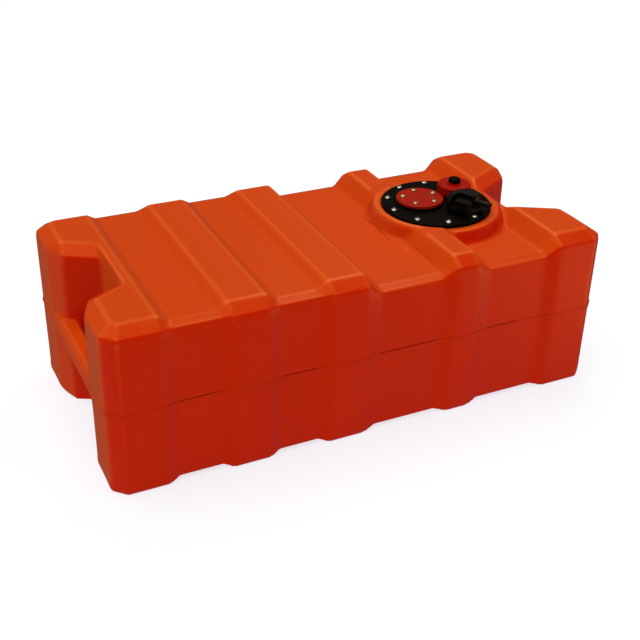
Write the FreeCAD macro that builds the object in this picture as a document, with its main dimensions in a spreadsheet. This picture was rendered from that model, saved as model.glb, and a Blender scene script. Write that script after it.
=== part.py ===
"""Marine fuel tank: a moulded plastic tank with a carrying handle and a bolted flange of fuel fittings.

Origin at the middle of the underside, X along the tank with the fittings at +X, Z up, sizes in mm.
"""
import FreeCAD
import Part

import math
import os
import re

from FreeCAD import Vector

SIZES = {
    # moulded tank
    "tank_length": 796.0,
    "tank_width": 386.0,
    "tank_height": 262.0,
    "tank_wall": 5.0,
    "corner_cut": 19.5,
    "top_corner_cut": 8.0,
    "bevel_drop": 14.0,
    "side_bevel": 23.0,
    "end_bevel": 21.6,
    "foot_bevel": 6.0,
    "ridge_proud": 2.0,
    "ridge_height": 3.0,
    # bands and grooves along the tank
    "post_run": 81.5,
    "groove_1_run": 97.5,
    "band_1_run": 56.0,
    "groove_2_run": 94.0,
    "band_2_run": 56.0,
    "band_3_run": 35.0,
    "groove_4_run": 144.5,
    "ear_run": 85.0,
    "shallow_depth": 10.0,
    "shallow_flank": 15.5,
    "deep_depth": 24.5,
    "deep_flank": 21.0,
    "groove_side_depth": 7.0,
    "groove_foot_depth": 5.5,
    "groove_edge_drop": 5.0,
    # handle notch, and the like channel at the other end
    "notch_mouth": 216.0,
    "notch_throat": 140.0,
    "notch_back": 83.0,
    "notch_lip": 15.0,
    "notch_depth": 67.0,
    "notch_bevel": 25.0,
    "handle_depth": 31.0,
    "handle_below": 17.0,
    "handle_above": 14.0,
    "handle_round": 7.0,
    "ramp_end_drop": 75.5,
    # flange seat
    "flange_setback": 193.0,
    "seat_drop": 4.5,
    "seat_radius": 101.5,
    "seat_flare": 8.0,
    "seat_hole_radius": 70.0,
    "seat_recess_clearance": 2.0,
    "seat_rim_depth": 18.0,
    "seat_hole_margin": 2.0,
    "insert_radius": 4.5,
    "insert_length": 13.0,
    "insert_foot_room": 1.0,
    # flange plate and its rim screws
    "gasket_thickness": 1.5,
    "plate_thickness": 4.5,
    "plate_radius": 87.5,
    "plate_edge_bevel": 1.2,
    "rim_screw_circle": 77.5,
    "rim_screw_phase": 1.9,
    "rim_screw_count": 10.0,
    "rim_screw_shank": 2.5,
    "rim_screw_length": 16.0,
    "rim_screw_head": 4.7,
    "rim_screw_head_height": 2.8,
    "screw_hole_clearance": 0.3,
    # fuel gauge place with its cover
    "gauge_offset": 26.4,
    "gauge_angle": 156.5,
    "gauge_hole_radius": 20.0,
    "gauge_boss_radius": 37.1,
    "gauge_boss_height": 2.5,
    "gauge_gasket_thickness": 1.5,
    "cover_radius": 37.7,
    "cover_thickness": 4.5,
    "cover_edge_bevel": 1.0,
    "cover_screw_circle": 27.0,
    "cover_screw_count": 5.0,
    "cover_screw_phase": 9.6,
    "cover_screw_shank": 2.0,
    "cover_screw_length": 13.0,
    "cover_screw_head": 4.3,
    "cover_screw_head_height": 2.6,
    # filler neck, cap and vent
    "filler_offset": 43.4,
    "filler_angle": 19.3,
    "neck_bore": 18.0,
    "neck_radius": 22.0,
    "neck_height": 13.5,
    "cap_radius": 26.9,
    "cap_top_thickness": 5.0,
    "cap_gap": 6.0,
    "cap_neck_clearance": 0.8,
    "cap_seal_thickness": 2.0,
    "cap_edge_bevel": 1.6,
    "cap_flute_count": 22.0,
    "cap_flute_radius": 1.7,
    "vent_collar_radius": 12.0,
    "vent_collar_height": 1.5,
    "vent_stem_radius": 3.0,
    "vent_stem_length": 8.0,
    "vent_clearance": 0.05,
    "vent_seal_radius": 7.0,
    "vent_seal_thickness": 1.0,
    "vent_knob_radius": 9.6,
    "vent_knob_height": 4.8,
    "vent_crown_height": 1.2,
    "vent_knob_flute": 1.3,
    "vent_knob_flutes": 8.0,
    # fuel pick-up: spigot through the plate, swivel head, hose tail and dip tube
    "pickup_offset": 50.3,
    "pickup_angle": -55.5,
    "head_angle": -65.0,
    "spigot_stem_radius": 10.0,
    "spigot_flange_radius": 16.0,
    "spigot_flange_height": 3.5,
    "spigot_below": 16.0,
    "spigot_neck_radius": 9.0,
    "spigot_neck_height": 5.5,
    "spigot_bore": 3.5,
    "spigot_seal_thickness": 1.5,
    "spigot_seal_inset": 1.0,
    "spigot_nut_flats": 28.0,
    "spigot_nut_height": 7.0,
    "neck_ring_height": 1.8,
    "neck_ring_depth": 1.4,
    "head_radius": 28.8,
    "head_height": 19.5,
    "head_round": 6.0,
    "head_gap": 0.5,
    "socket_clearance": 0.05,
    "socket_wall": 3.6,
    "socket_room": 4.0,
    "hood_end": 15.0,
    "pocket_left": 13.0,
    "pocket_floor": 3.0,
    "step_floor": 12.0,
    "latch_half_width": 12.7,
    "latch_shift": 9.3,
    "latch_reach": 27.0,
    "latch_thickness": 10.0,
    "latch_height": 14.0,
    "nose_margin": 0.5,
    "latch_rib": 1.0,
    "latch_rib_count": 5.0,
    "latch_rib_height": 8.4,
    "tail_height": 10.5,
    "tail_offset": 6.0,
    "tail_stub_radius": 4.5,
    "tail_stub_length": 8.0,
    "tail_hex_flats": 12.0,
    "tail_hex_length": 5.0,
    "tail_radius": 4.0,
    "tail_length": 21.0,
    "tail_bore": 2.5,
    "tail_barb_proud": 1.0,
    "tail_barb_land": 1.2,
    "tail_barb_taper": 2.2,
    "tail_barb_pitch": 4.2,
    "tail_seal_thickness": 1.0,
    "fit_clearance": 0.05,
    "skirt_depth": 6.0,
    "skirt_wall": 2.0,
    "skirt_clearance": 1.0,
    "dip_tube_radius": 5.0,
    "dip_tube_wall": 1.0,
    "dip_tube_socket": 10.0,
    "strainer_radius": 9.0,
    "strainer_height": 24.0,
    "strainer_wall": 1.5,
    "strainer_foot_gap": 5.0,
    "strainer_slot_count": 8.0,
    "strainer_slot_radius": 1.95,
    "strainer_slot_height": 14.4,
}

doc = FreeCAD.newDocument("fuel_tank")
sheet = doc.addObject("Spreadsheet::Sheet", "sizes")
for row, (alias, size) in enumerate(SIZES.items(), start=1):
    sheet.set("A%d" % row, alias)
    sheet.set("B%d" % row, repr(size))
    sheet.setAlias("B%d" % row, alias)
doc.recompute()
SIZE_CELLS = {alias: "sizes." + alias for alias in SIZES}


def size(alias):
    """Value of one cell."""
    return float(sheet.get(alias))


def expr(text):
    """Expression text with every size name pointing at its cell."""
    return re.sub(r"[a-z][a-z_0-9]*", lambda word: SIZE_CELLS.get(word.group(), word.group()), text)


# Moulded tank
HALF_LENGTH = size("tank_length") / 2
HALF_WIDTH = size("tank_width") / 2
HEIGHT = size("tank_height")
PARTING = HEIGHT / 2
FLANGE_X = HALF_LENGTH - size("flange_setback")
SEAT = HEIGHT - size("seat_drop")
# How far a cutter runs on past the surface it cuts, as a share of its own slope or of the tank
RUN_ON = 0.5
MOUTH_RUN_ON = 0.15
SLAB_RUN_ON = 1.1


def closed_wire(points):
    """Closed polygon through the points."""
    return Part.makePolygon(points + points[:1])


def ruled_solid(sections):
    """Solid with straight sides between polygons of as many points."""
    return Part.makeLoft([closed_wire(points) for points in sections], True, True)


def cut_rectangle(half_x, half_y, corner, z):
    """Rectangle with its four corners cut off, at one height."""
    return [
        Vector(half_x, corner - half_y, z),
        Vector(half_x, half_y - corner, z),
        Vector(half_x - corner, half_y, z),
        Vector(corner - half_x, half_y, z),
        Vector(-half_x, half_y - corner, z),
        Vector(-half_x, corner - half_y, z),
        Vector(corner - half_x, -half_y, z),
        Vector(half_x - corner, -half_y, z),
    ]


def envelope(inset):
    """Tank without grooves or notches: cut corners and a bevelled rim, drawn in by the inset."""
    half_x = HALF_LENGTH - inset
    half_y = HALF_WIDTH - inset
    top = HEIGHT - inset
    foot = size("foot_bevel")
    corner = size("corner_cut")
    return ruled_solid([
        cut_rectangle(half_x - foot, half_y - foot, corner, inset),
        cut_rectangle(half_x, half_y, corner, inset + foot),
        cut_rectangle(half_x, half_y, corner, top - size("bevel_drop")),
        cut_rectangle(half_x - size("end_bevel"), half_y - size("side_bevel"), size("top_corner_cut"), top),
    ])


def hoop(x, inset, share, depth):
    """Cross-section at x: share 0 is the band's own height, 1 is the groove's floor."""
    side = HALF_WIDTH - inset - share * size("groove_side_depth")
    deck_edge = HALF_WIDTH - inset - size("side_bevel")
    top = HEIGHT - inset - share * depth
    floor = inset + share * size("groove_foot_depth")
    edge_drop = size("bevel_drop") + share * (size("groove_edge_drop") - size("bevel_drop"))
    return [
        Vector(x, side, floor),
        Vector(x, side, top - edge_drop),
        Vector(x, deck_edge, top),
        Vector(x, -deck_edge, top),
        Vector(x, -side, top - edge_drop),
        Vector(x, -side, floor),
    ]


def groove_cutter(start, end, flank, depth, inset):
    """What a groove between two bands takes off, all round the tank."""
    widen = inset * math.tan(math.atan2(depth, flank) / 2)
    first = start - widen
    last = end + widen
    over = RUN_ON
    waist = ruled_solid([
        hoop(first - over * flank, inset, -over, depth),
        hoop(first + flank, inset, 1.0, depth),
        hoop(last - flank, inset, 1.0, depth),
        hoop(last + over * flank, inset, -over, depth),
    ])
    reach = last - first + 2 * over * flank
    block = Part.makeBox(reach, 2 * size("tank_width"), 2 * HEIGHT,
                         Vector(first - over * flank, -size("tank_width"), -HEIGHT / 2))
    return block.cut(waist)


def band_edges():
    """Where each groove starts and ends at the bands' tops, with its flank and depth."""
    shallow = (size("shallow_flank"), size("shallow_depth"))
    deep = (size("deep_flank"), size("deep_depth"))
    groove_1 = size("post_run") - HALF_LENGTH
    band_1 = groove_1 + size("groove_1_run")
    groove_2 = band_1 + size("band_1_run")
    band_2 = groove_2 + size("groove_2_run")
    groove_3 = band_2 + size("band_2_run")
    ear = HALF_LENGTH - size("ear_run")
    groove_4 = ear - size("groove_4_run")
    band_3 = groove_4 - size("band_3_run")
    return [
        (groove_1, band_1) + shallow,
        (groove_2, band_2) + shallow,
        (groove_3, band_3) + deep,
        (groove_4, ear) + deep,
    ]


def crossing(point, direction, x):
    """Point of a plan line where it reaches x."""
    return Vector(x, point.y + direction.y * (x - point.x) / direction.x, 0)


def notch_plan(back_x, offset):
    """Half plan of the notch at the handle end: outer point, lip corner and back corner.

    The first list lies at the foot of the notch's bevel and the second at its top edge.
    """
    mouth = Vector(-HALF_LENGTH, size("notch_mouth") / 2, 0)
    lip = Vector(size("notch_lip") - HALF_LENGTH, size("notch_throat") / 2, 0)
    back = Vector(size("notch_depth") - HALF_LENGTH, size("notch_back") / 2, 0)
    lip_side = (mouth - lip).normalize()
    wall_side = (back - lip).normalize()
    lip_out = Vector(lip_side.y, -lip_side.x, 0)
    wall_out = Vector(-wall_side.y, wall_side.x, 0)
    lip_line = lip + lip_out * offset
    wall_line = lip + wall_out * offset
    turn = (wall_line - lip_line).dot(wall_out) / lip_side.dot(wall_out)
    corner = lip_line + lip_side * turn
    outer = corner + lip_side * size("tank_width") * MOUTH_RUN_ON
    top_line = lip + wall_out * (offset + size("notch_bevel"))
    top_corner = crossing(top_line, wall_side, size("end_bevel") - HALF_LENGTH)
    top_outer = top_corner + lip_side * size("tank_width") * MOUTH_RUN_ON
    foot = [outer, corner, crossing(wall_line, wall_side, back_x)]
    rim = [top_outer, top_corner, crossing(top_line, wall_side, back_x)]
    return foot, rim


def notch_cutter(back_x, low, inset):
    """Upright cutter of the notch's plan that flares out into its top bevel."""
    foot, rim = notch_plan(back_x, inset)
    rim_height = HEIGHT - inset
    foot_height = rim_height - size("bevel_drop")

    def loop(half, height):
        both = half + [Vector(p.x, -p.y, 0) for p in reversed(half)]
        return [Vector(p.x, p.y, height) for p in both]

    above = [upper + (upper - lower) for lower, upper in zip(foot, rim)]
    return ruled_solid([
        loop(foot, low),
        loop(foot, foot_height),
        loop(above, rim_height + size("bevel_drop")),
    ])


def handle_end_cut(inset):
    """Notch through the full height at the handle end."""
    back_x = size("notch_depth") - HALF_LENGTH + inset
    return notch_cutter(back_x, -size("bevel_drop"), inset)


def fitting_end_cut(inset):
    """Channel between the two ears, over a ramp that falls from the flange seat to the end."""
    slope = size("ramp_end_drop") / (size("flange_setback") - size("seat_radius"))
    seat_edge = FLANGE_X + size("seat_radius") - inset * math.tan(math.atan(slope) / 2)
    seat = SEAT - inset
    reach = HALF_LENGTH - seat_edge
    back_x = seat_edge - size("notch_lip")
    notch = notch_cutter(-back_x, 0, inset).mirror(Vector(), Vector(1, 0, 0))
    beyond = size("ear_run")
    profile = [
        Vector(back_x, 0, seat),
        Vector(seat_edge, 0, seat),
        Vector(HALF_LENGTH + beyond, 0, seat - slope * (reach + beyond)),
        Vector(HALF_LENGTH + beyond, 0, 2 * HEIGHT),
        Vector(back_x, 0, 2 * HEIGHT),
    ]
    above_ramp = Part.Face(closed_wire(profile)).extrude(Vector(0, size("tank_width"), 0))
    above_ramp.translate(Vector(0, -size("tank_width") / 2, 0))
    return notch.common(above_ramp)


def seat_boss(top, inset):
    """Round boss under the flange up to one height, flared out towards the deck."""
    deck = HEIGHT - size("deep_depth")
    flare = size("seat_flare")
    radius = size("seat_radius") - inset
    height = top - deck
    cone = Part.makeCone(radius + flare, radius, height, Vector(FLANGE_X, 0, deck))
    core = Part.makeCylinder(radius + flare, deck - PARTING, Vector(FLANGE_X, 0, PARTING))
    return core.fuse(cone)


def seat_collar(inset):
    """Side of the boss that stands beside the third band, as high as the band."""
    _, _, groove_3, groove_4 = band_edges()
    band_middle = (groove_3[1] + groove_4[0]) / 2
    beside = Part.makeBox(size("tank_length"), size("tank_width"), 2 * HEIGHT,
                          Vector(band_middle - size("tank_length"), -HALF_WIDTH, 0))
    return seat_boss(HEIGHT - inset, inset).common(beside)


def seat_recess(inset):
    """Round recess in the band, down to the seat, that clears the flange plate."""
    radius = size("plate_radius") + size("seat_recess_clearance") + inset
    return Part.makeCylinder(radius, HEIGHT, Vector(FLANGE_X, 0, SEAT - inset))


def moulding(inset):
    """Outer form of the tank, or its hollow when it is drawn in by the wall."""
    form = envelope(inset)
    for start, end, flank, depth in band_edges():
        form = form.cut(groove_cutter(start, end, flank, depth, inset))
    form = form.fuse(seat_boss(SEAT - inset, inset))
    form = form.fuse(seat_collar(inset))
    form = form.cut(handle_end_cut(inset))
    form = form.cut(fitting_end_cut(inset))
    return form.cut(seat_recess(inset))


def handle():
    """Bar across the notch at half height, with the hand hole left open behind it."""
    foot, rim = notch_plan(size("notch_depth") - HALF_LENGTH, size("tank_wall") / 2)
    plan = foot + [Vector(p.x, -p.y, 0) for p in reversed(foot)]
    prism = Part.Face(closed_wire(plan)).extrude(Vector(0, 0, HEIGHT))
    front = -HALF_LENGTH
    back = front + size("handle_depth")
    low = PARTING - size("handle_below")
    high = PARTING + size("handle_above")
    soft = size("handle_round")
    profile = [
        Vector(front, 0, low),
        Vector(front, 0, high - soft),
        Vector(front + soft, 0, high),
        Vector(back - soft, 0, high),
        Vector(back, 0, high - soft),
        Vector(back, 0, low + soft),
        Vector(back - soft, 0, low),
    ]
    bar = Part.Face(closed_wire(profile)).extrude(Vector(0, size("tank_width"), 0))
    bar.translate(Vector(0, -HALF_WIDTH, 0))
    return bar.common(prism)


def parting_ridge():
    """Low ridge where the mould halves met, round the outside and along the handle's front."""
    proud = size("ridge_proud")
    thick = size("ridge_height")
    low = PARTING - thick / 2
    slab = Part.makeBox(2 * HALF_LENGTH * SLAB_RUN_ON, 2 * HALF_WIDTH * SLAB_RUN_ON, thick,
                        Vector(-HALF_LENGTH * SLAB_RUN_ON, -HALF_WIDTH * SLAB_RUN_ON, low))
    front = Part.makeBox(proud + size("handle_round"), size("notch_mouth"), thick,
                         Vector(-HALF_LENGTH - proud, -size("notch_mouth") / 2, low))
    return moulding(-proud).common(slab).fuse(front)


def seat_points(radius, count, phase):
    """Even points on a circle round the flange's axis."""
    steps = [math.radians(phase + 360.0 * k / count) for k in range(int(count))]
    return [Vector(FLANGE_X + radius * math.cos(a), radius * math.sin(a), 0) for a in steps]


def tank_shape():
    """One hollow moulding with the handle, the ridge and the bored flange seat."""
    wall = size("tank_wall")
    outside = moulding(0).fuse(handle())
    outside = outside.fuse(parting_ridge())
    depth = size("seat_rim_depth")
    rim_outer = size("plate_radius")
    seat_rim = Part.makeCylinder(rim_outer, depth, Vector(FLANGE_X, 0, SEAT - depth))
    hollow = moulding(wall).cut(seat_rim)
    mouth = Part.makeCylinder(size("seat_hole_radius"), HEIGHT, Vector(FLANGE_X, 0, SEAT - depth - wall))
    shape = outside.cut(hollow).cut(mouth)
    spots = seat_points(size("rim_screw_circle"), size("rim_screw_count"), size("rim_screw_phase"))
    for spot in spots:
        spot.z = SEAT - size("insert_length")
        shape = shape.cut(Part.makeCylinder(size("insert_radius"), size("insert_length"), spot))
    return shape.removeSplitter()


tank_body = doc.addObject("Part::Feature", "tank_body")
tank_body.Shape = tank_shape()


# Levels and centres shared by the fittings, as expression texts
FLANGE_CX = "(tank_length / 2 - flange_setback)"
SEAT_LEVEL = "(tank_height - seat_drop)"
PLATE_LOW = "(%s + gasket_thickness)" % SEAT_LEVEL
PLATE_TOP = "(%s + plate_thickness)" % PLATE_LOW
GAUGE_CENTRE = (
    "(%s + gauge_offset * cos(gauge_angle * 1deg))" % FLANGE_CX,
    "(gauge_offset * sin(gauge_angle * 1deg))",
)
GAUGE_SEAT = "(%s + gauge_boss_height)" % PLATE_TOP
COVER_LOW = "(%s + gauge_gasket_thickness)" % GAUGE_SEAT
FILLER_CENTRE = (
    "(%s + filler_offset * cos(filler_angle * 1deg))" % FLANGE_CX,
    "(filler_offset * sin(filler_angle * 1deg))",
)
NECK_TOP = "(%s + neck_height)" % PLATE_TOP
CAP_CEILING = "(%s + cap_seal_thickness)" % NECK_TOP
CAP_TOP = "(%s + cap_top_thickness)" % CAP_CEILING
COLLAR_TOP = "(%s + vent_collar_height)" % CAP_TOP
KNOB_LOW = "(%s + vent_seal_thickness)" % COLLAR_TOP
PICKUP_CENTRE = (
    "(%s + pickup_offset * cos(pickup_angle * 1deg))" % FLANGE_CX,
    "(pickup_offset * sin(pickup_angle * 1deg))",
)
SPIGOT_LOW = "(%s + spigot_seal_thickness)" % PLATE_TOP
SPIGOT_NECK = "(%s + spigot_flange_height)" % SPIGOT_LOW
SPIGOT_FOOT = "(%s + plate_thickness - spigot_below)" % PLATE_LOW
HEAD_LOW = "(%s + head_gap)" % SPIGOT_NECK
TAIL_AXIS = "(%s + tail_height)" % HEAD_LOW
STRAINER_LOW = "(tank_wall + groove_foot_depth + strainer_foot_gap)"


def bound(kind, name, sizes, place=("0", "0", "0"), turn=None):
    """Part primitive whose sizes and place follow expressions; turn is an axis and a fixed angle."""
    item = doc.addObject("Part::" + kind, name)
    if turn:
        item.Placement = FreeCAD.Placement(Vector(), FreeCAD.Rotation(turn[0], turn[1]))
    for prop, text in sizes.items():
        item.setExpression(prop, expr(text))
    for axis, text in zip("xyz", place):
        item.setExpression("Placement.Base." + axis, expr(text))
    return item


def cylinder(name, radius, height, place=("0", "0", "0"), turn=None):
    """Upright cylinder from its lower end."""
    return bound("Cylinder", name, {"Radius": radius, "Height": height}, place, turn)


def cone(name, low_radius, top_radius, height, place=("0", "0", "0"), turn=None):
    """Upright cone from its lower end."""
    sizes = {"Radius1": low_radius, "Radius2": top_radius, "Height": height}
    return bound("Cone", name, sizes, place, turn)


def box(name, length, width, height, place):
    """Block from its lowest corner."""
    return bound("Box", name, {"Length": length, "Width": width, "Height": height}, place)


def hexagon(name, flats, height, place, turn=None):
    """Six-sided prism by its width across flats."""
    sizes = {"Circumradius": "(%s) / sqrt(3)" % flats, "Height": height}
    item = bound("Prism", name, sizes, place, turn)
    item.Polygon = 6
    return item


def fuse(name, items):
    """Union of several objects."""
    item = doc.addObject("Part::MultiFuse", name)
    item.Shapes = items
    return item


def group(name, items):
    """Separate solids kept together."""
    item = doc.addObject("Part::Compound", name)
    item.Links = items
    return item


def cut(name, base, tools):
    """One object less all the tools."""
    item = doc.addObject("Part::Cut", name)
    item.Base = base
    item.Tool = tools[0] if len(tools) == 1 else group(name + "_tools", tools)
    return item


def ring(name, outer, inner, height, place, turn=None):
    """Round piece with a round hole through it, by its two radii."""
    disc = cylinder(name + "_disc", outer, height, place, turn)
    hole = cylinder(name + "_hole", inner, height, place, turn)
    return cut(name, disc, [hole])


def around(centre, radius, count, phase, make):
    """Objects made at even steps on a circle round a centre; make takes an index and an x, y pair."""
    items = []
    for step in range(int(size(count))):
        angle = "((%s + %d * 360 / %s) * 1deg)" % (phase, step, count)
        spot = (
            "(%s + (%s) * cos%s)" % (centre[0], radius, angle),
            "(%s + (%s) * sin%s)" % (centre[1], radius, angle),
        )
        items.append(make(step, spot))
    return items


FLANGE_CENTRE = (FLANGE_CX, "0")
RIM_SPOTS = (FLANGE_CENTRE, "rim_screw_circle", "rim_screw_count", "rim_screw_phase")
COVER_SPOTS = (GAUGE_CENTRE, "cover_screw_circle", "cover_screw_count", "cover_screw_phase")


def bores(name, spots, radius, low, height):
    """One bore at each spot."""
    return around(*spots, lambda k, at: cylinder("%s_%d" % (name, k), radius, height, (at[0], at[1], low)))


# Proportions of a pan-head screw: the head's straight part and its crown, and the cross in it
SCREW_SIDE = " * 0.6"
SCREW_CROWN = " * 0.4"
SCREW_CROWN_RADIUS = " * 0.72"
CROSS_LENGTH = " * 1.1"
CROSS_WIDTH = " * 0.22"
CROSS_FLOOR = " * 0.45"


def pan_screw(name, head, head_height, shank, length, at, seat):
    """Pan-head screw with a cross recess, its head's underside at the seat."""
    head_low = cylinder(name + "_head", head, head_height + SCREW_SIDE, (at[0], at[1], seat))
    crown = cone(name + "_crown", head, head + SCREW_CROWN_RADIUS, head_height + SCREW_CROWN,
                 (at[0], at[1], seat + " + " + head_height + SCREW_SIDE))
    stem = cylinder(name + "_shank", shank, length, (at[0], at[1], seat + " - " + length))
    whole = fuse(name + "_whole", [head_low, crown, stem])
    arm = head + CROSS_LENGTH
    slot = head + CROSS_WIDTH
    deep = seat + " + " + head_height + CROSS_FLOOR
    cross = [
        box(name + "_slot_x", arm, slot, head_height,
            (at[0] + " - " + arm + " / 2", at[1] + " - " + slot + " / 2", deep)),
        box(name + "_slot_y", slot, arm, head_height,
            (at[0] + " - " + slot + " / 2", at[1] + " - " + arm + " / 2", deep)),
    ]
    return cut(name, whole, cross)


# Flange: inserts, gasket, plate and rim screws
def make_inserts():
    """Threaded metal inserts moulded into the seat."""
    height = "insert_length - insert_foot_room"
    low = SEAT_LEVEL + " - (" + height + ")"

    def insert(step, at):
        return ring("insert_%d" % step, "insert_radius - fit_clearance", "rim_screw_shank + fit_clearance",
                    height, (at[0], at[1], low))
    return group("flange_inserts", around(*RIM_SPOTS, insert))


def make_gasket():
    """Flat rubber ring between the seat and the plate."""
    disc = ring("gasket_ring", "plate_radius - plate_edge_bevel", "seat_hole_radius + seat_hole_margin",
                "gasket_thickness", FLANGE_CENTRE + (SEAT_LEVEL,))
    holes = bores("gasket_bore", RIM_SPOTS, "rim_screw_shank + screw_hole_clearance", SEAT_LEVEL,
                  "gasket_thickness")
    return cut("flange_gasket", disc, holes)


def make_plate():
    """Round plate that carries the gauge boss and the filler neck."""
    body = cylinder("plate_disc", "plate_radius", "plate_thickness - plate_edge_bevel",
                    FLANGE_CENTRE + (PLATE_LOW,))
    edge = cone("plate_edge", "plate_radius", "plate_radius - plate_edge_bevel", "plate_edge_bevel",
                FLANGE_CENTRE + (PLATE_TOP + " - plate_edge_bevel",))
    skirt_radius = "seat_hole_radius - skirt_clearance"
    skirt = ring("plate_skirt", skirt_radius, skirt_radius + " - skirt_wall", "skirt_depth",
                 FLANGE_CENTRE + (PLATE_LOW + " - skirt_depth",))
    gauge_boss = cylinder("gauge_boss", "gauge_boss_radius", "gauge_boss_height", GAUGE_CENTRE + (PLATE_TOP,))
    neck = cylinder("filler_neck", "neck_radius", "neck_height", FILLER_CENTRE + (PLATE_TOP,))
    whole = fuse("plate_whole", [body, edge, skirt, gauge_boss, neck])
    through = "plate_thickness + neck_height + skirt_depth"
    holes = bores("plate_bore", RIM_SPOTS, "rim_screw_shank + screw_hole_clearance", PLATE_LOW,
                  "plate_thickness")
    holes.append(cylinder("gauge_hole", "gauge_hole_radius", through, GAUGE_CENTRE + (PLATE_LOW,)))
    holes.append(cylinder("neck_hole", "neck_bore", "plate_thickness + neck_height",
                          FILLER_CENTRE + (PLATE_LOW,)))
    holes.append(cylinder("spigot_hole", "spigot_stem_radius + fit_clearance", "plate_thickness",
                          PICKUP_CENTRE + (PLATE_LOW,)))
    holes += bores("pilot", COVER_SPOTS, "cover_screw_shank + fit_clearance", PLATE_LOW,
                   "plate_thickness + gauge_boss_height")
    return cut("flange_plate", whole, holes)


def make_rim_screws():
    """Screws through the plate into the inserts."""
    def screw(step, at):
        return pan_screw("rim_screw_%d" % step, "rim_screw_head", "rim_screw_head_height",
                         "rim_screw_shank", "rim_screw_length", at, PLATE_TOP)
    return group("rim_screws", around(*RIM_SPOTS, screw))


# Covered fuel gauge place
def make_gauge_gasket():
    """Rubber disc with a central hole, under the cover."""
    disc = ring("gauge_gasket_ring", "gauge_boss_radius", "gauge_hole_radius", "gauge_gasket_thickness",
                GAUGE_CENTRE + (GAUGE_SEAT,))
    holes = bores("gauge_gasket_bore", COVER_SPOTS, "cover_screw_shank + screw_hole_clearance", GAUGE_SEAT,
                  "gauge_gasket_thickness")
    return cut("gauge_gasket", disc, holes)


def make_cover():
    """Round cover over the unused gauge hole."""
    disc = cylinder("cover_disc", "cover_radius", "cover_thickness - cover_edge_bevel",
                    GAUGE_CENTRE + (COVER_LOW,))
    edge = cone("cover_edge", "cover_radius", "cover_radius - cover_edge_bevel", "cover_edge_bevel",
                GAUGE_CENTRE + (COVER_LOW + " + cover_thickness - cover_edge_bevel",))
    holes = bores("cover_bore", COVER_SPOTS, "cover_screw_shank + screw_hole_clearance", COVER_LOW,
                  "cover_thickness")
    return cut("gauge_cover", fuse("cover_whole", [disc, edge]), holes)


def make_cover_screws():
    """Screws that hold the cover on its boss."""
    def screw(step, at):
        return pan_screw("cover_screw_%d" % step, "cover_screw_head", "cover_screw_head_height",
                         "cover_screw_shank", "cover_screw_length", at, COVER_LOW + " + cover_thickness")
    return group("cover_screws", around(*COVER_SPOTS, screw))


# Filler cap and its vent
def make_cap():
    """Screw cap with a fluted skirt, and a collar round its vent."""
    low = PLATE_TOP + " + cap_gap"
    skirt = cylinder("cap_skirt", "cap_radius", CAP_TOP + " - cap_edge_bevel - (" + low + ")",
                     FILLER_CENTRE + (low,))
    edge = cone("cap_edge", "cap_radius", "cap_radius - cap_edge_bevel", "cap_edge_bevel",
                FILLER_CENTRE + (CAP_TOP + " - cap_edge_bevel",))
    collar = cylinder("vent_collar", "vent_collar_radius", "vent_collar_height", FILLER_CENTRE + (CAP_TOP,))
    whole = fuse("cap_whole", [skirt, edge, collar])
    inside = cylinder("cap_inside", "neck_radius + cap_neck_clearance", CAP_CEILING + " - (" + low + ")",
                      FILLER_CENTRE + (low,))
    vent = cylinder("cap_vent_bore", "vent_stem_radius + vent_clearance",
                    "cap_top_thickness + vent_collar_height", FILLER_CENTRE + (CAP_CEILING,))
    flutes = bores("cap_flute", (FILLER_CENTRE, "cap_radius + cap_flute_radius / 3", "cap_flute_count", "0"),
                   "cap_flute_radius", low, CAP_TOP + " - cap_edge_bevel * 2 - (" + low + ")")
    return cut("filler_cap", whole, [inside, vent] + flutes)


def make_cap_seal():
    """Flat ring between the neck's rim and the cap's ceiling."""
    return ring("cap_seal", "neck_radius", "neck_bore", "cap_seal_thickness", FILLER_CENTRE + (NECK_TOP,))


def make_vent_knob():
    """Fluted vent screw in the middle of the cap."""
    head = cylinder("vent_head", "vent_knob_radius", "vent_knob_height", FILLER_CENTRE + (KNOB_LOW,))
    crown = cone("vent_crown", "vent_knob_radius", "vent_knob_radius - vent_crown_height",
                 "vent_crown_height", FILLER_CENTRE + (KNOB_LOW + " + vent_knob_height",))
    stem = cylinder("vent_stem", "vent_stem_radius", "vent_stem_length",
                    FILLER_CENTRE + (KNOB_LOW + " - vent_stem_length",))
    whole = fuse("vent_whole", [head, crown, stem])
    flutes = bores("vent_flute", (FILLER_CENTRE, "vent_knob_radius", "vent_knob_flutes", "0"),
                   "vent_knob_flute", KNOB_LOW, "vent_knob_height + vent_crown_height")
    return cut("vent_knob", whole, flutes)


def make_vent_seal():
    """Flat ring under the vent knob."""
    return ring("vent_seal", "vent_seal_radius", "vent_stem_radius", "vent_seal_thickness",
                FILLER_CENTRE + (COLLAR_TOP,))


# Fuel pick-up
RING_LOW = "(%s + spigot_neck_height / 2 - neck_ring_height / 2)" % SPIGOT_NECK
RING_CORE = "spigot_neck_radius - neck_ring_depth"


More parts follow.
